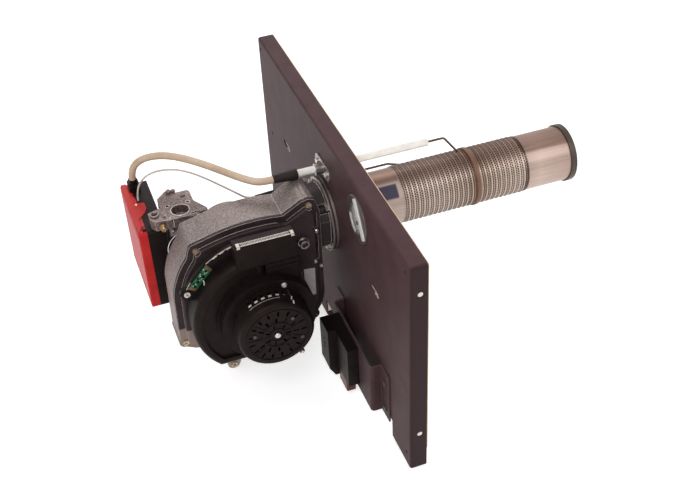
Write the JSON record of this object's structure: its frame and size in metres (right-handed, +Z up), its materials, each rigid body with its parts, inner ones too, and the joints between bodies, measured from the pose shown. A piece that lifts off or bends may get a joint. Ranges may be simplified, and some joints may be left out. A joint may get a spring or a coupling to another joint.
{
  "type": "premix gas burner",
  "caption": "Premix gas burner on a folded mounting plate: centrifugal fan, gas valve and red controller on one side, perforated burner tube with electrodes on the other.",
  "frame": {"origin": "where the axis of the burner tube meets the front face of the mounting plate, which is also the middle of its two slots", "axes": "+X down the burner tube into the furnace, +Y to the far end of the plate, +Z up"},
  "size_m": [0.594, 0.56, 0.33],
  "materials": {
    "painted_sheet": "matt powder coat",
    "fibre_board": "ceramic fibre board",
    "tube_steel": "brushed, heat tinted",
    "flame_steel": "perforated, heat tinted",
    "cast_aluminium": "as cast",
    "cover_paint": "satin dark grey",
    "gasket": "matt",
    "screws": "zinc plated",
    "brass": "turned",
    "impeller_sheet": "pressed sheet",
    "shaft_steel": "ground",
    "motor_iron": "laminated",
    "black_plastic": "moulded",
    "circuit_board": "green lacquer",
    "pale_plastic": "moulded",
    "chrome": "bright",
    "red_plastic": "satin moulding",
    "white_ceramic": "glazed ceramic",
    "rod_steel": "scaled",
    "black_rubber": "soft",
    "beige_silicone": "silicone",
    "thin_wire": "silicone",
    "lens": "clear",
    "brown_plastic": "moulded"
  },
  "bodies": {
    "root": {"bearings": "shaft_steel", "bracket": "painted_sheet", "bracket_screws": "screws", "burner_tube": "tube_steel", "casing_cover": "cover_paint", "casing_gasket": "gasket", "casing_rear": "cast_aluminium", "coil_ring": "chrome", "connector_box": "black_plastic", "connector_strip": "pale_plastic", "control_board": "circuit_board", "controller_base": "black_plastic", "controller_cover": "red_plastic", "cover_screws": "screws", "electronics_box": "black_plastic", "end_cap": "tube_steel", "flame_sleeve": "flame_steel", "gas_valve": "cast_aluminium", "hv_lead": "beige_silicone", "hv_plug": "black_plastic", "ignition_boot": "black_rubber", "ignition_ceramic": "white_ceramic", "ignition_flange": "chrome", "ignition_rod": "rod_steel", "ignition_screws": "screws", "insulation_board": "fibre_board", "ionisation_ceramic": "white_ceramic", "ionisation_gland": "brass", "ionisation_rod": "rod_steel", "ionisation_sleeve": "black_rubber", "mains_plug": "brown_plastic", "motor_base": "black_plastic", "motor_cap": "black_plastic", "motor_stator": "motor_iron", "mounting_plate": "painted_sheet", "outlet_bolts": "screws", "pressure_nipple": "screws", "seam_band": "flame_steel", "sight_lens": "lens", "sight_ring": "chrome", "sight_strap": "chrome", "test_nipple": "brass", "test_pin": "screws", "thin_lead": "thin_wire", "tube_gasket": "fibre_board", "valve_base": "cast_aluminium", "valve_coil": "black_plastic", "venturi": "cast_aluminium", "wing_screw": "screws"},
    "rotor": {"impeller": "impeller_sheet", "motor_shaft": "shaft_steel", "motor_rotor": "motor_iron", "cooling_wheel": "black_plastic"},
    "throttle": {"throttle_screw": "screws"}
  },
  "joints": [
    {"name": "fan_spin", "type": "hinge", "parent": "root", "child": "rotor", "pos_m": [-0.116, -0.06, -0.062], "axis": [0, -1, 0], "continuous": true},
    {"name": "throttle_turn", "type": "hinge", "parent": "root", "child": "throttle", "pos_m": [-0.116, 0.058, -0.03], "axis": [0, 0, 1], "range_deg": [-180, 180]}
  ]
}
